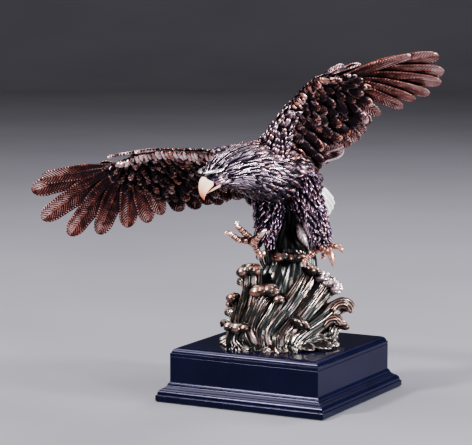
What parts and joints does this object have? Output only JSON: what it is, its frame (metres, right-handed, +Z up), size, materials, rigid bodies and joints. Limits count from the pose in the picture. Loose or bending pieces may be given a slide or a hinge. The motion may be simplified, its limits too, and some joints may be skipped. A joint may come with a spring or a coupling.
{
  "type": "eagle statuette",
  "caption": "Patinated bronze eagle landing with spread wings above a curling wave, on a square stepped black plinth.",
  "frame": {"origin": "middle of the felt underside of the plinth, on the surface it stands on", "axes": "+Z up; -Y is the plinth's front, which the bird flies toward; +X toward the bird's raised left wing"},
  "size_m": [0.4057, 0.1921, 0.3189],
  "materials": {
    "body_bronze": "dark bronze patina with feather edges rubbed back to a pale copper",
    "wing_bronze": "red-brown bronze patina, rims rubbed pale",
    "wave_bronze": "dark patina in the grooves, ridges rubbed to a pale gold",
    "foot_bronze": "rubbed copper with dark creases",
    "beak_paint": "satin cream paint that darkens to peach at the tip",
    "tail_paint": "satin white paint over bronze",
    "black_lacquer": "satin black lacquer over wood",
    "raw_board": "unfinished board",
    "steel": "plain zinc-plated steel",
    "felt": "short-pile dark felt"
  },
  "bodies": {
    "root": {"felt_sheet": "felt", "top_board": "black_lacquer", "bottom_panel": "raw_board", "panel_screws": "steel", "glue_blocks": "raw_board", "base_studs": "steel", "stud_washers": "steel", "stud_nuts": "steel", "armature_rod": "steel", "right_wing_pins": "steel", "left_wing_pins": "steel", "tail_pin": "steel", "right_foot_pin": "steel", "left_foot_pin": "steel", "eagle_body": "body_bronze", "beak": "beak_paint", "right_wing": "wing_bronze", "left_wing": "wing_bronze", "tail": "tail_paint", "right_foot": "foot_bronze", "left_foot": "foot_bronze", "wave_base": "wave_bronze", "plinth_wall_front": "black_lacquer", "base_moulding_front": "black_lacquer", "plinth_wall_right": "black_lacquer", "base_moulding_right": "black_lacquer", "plinth_wall_back": "black_lacquer", "base_moulding_back": "black_lacquer", "plinth_wall_left": "black_lacquer", "base_moulding_left": "black_lacquer"}
  },
  "joints": []
}
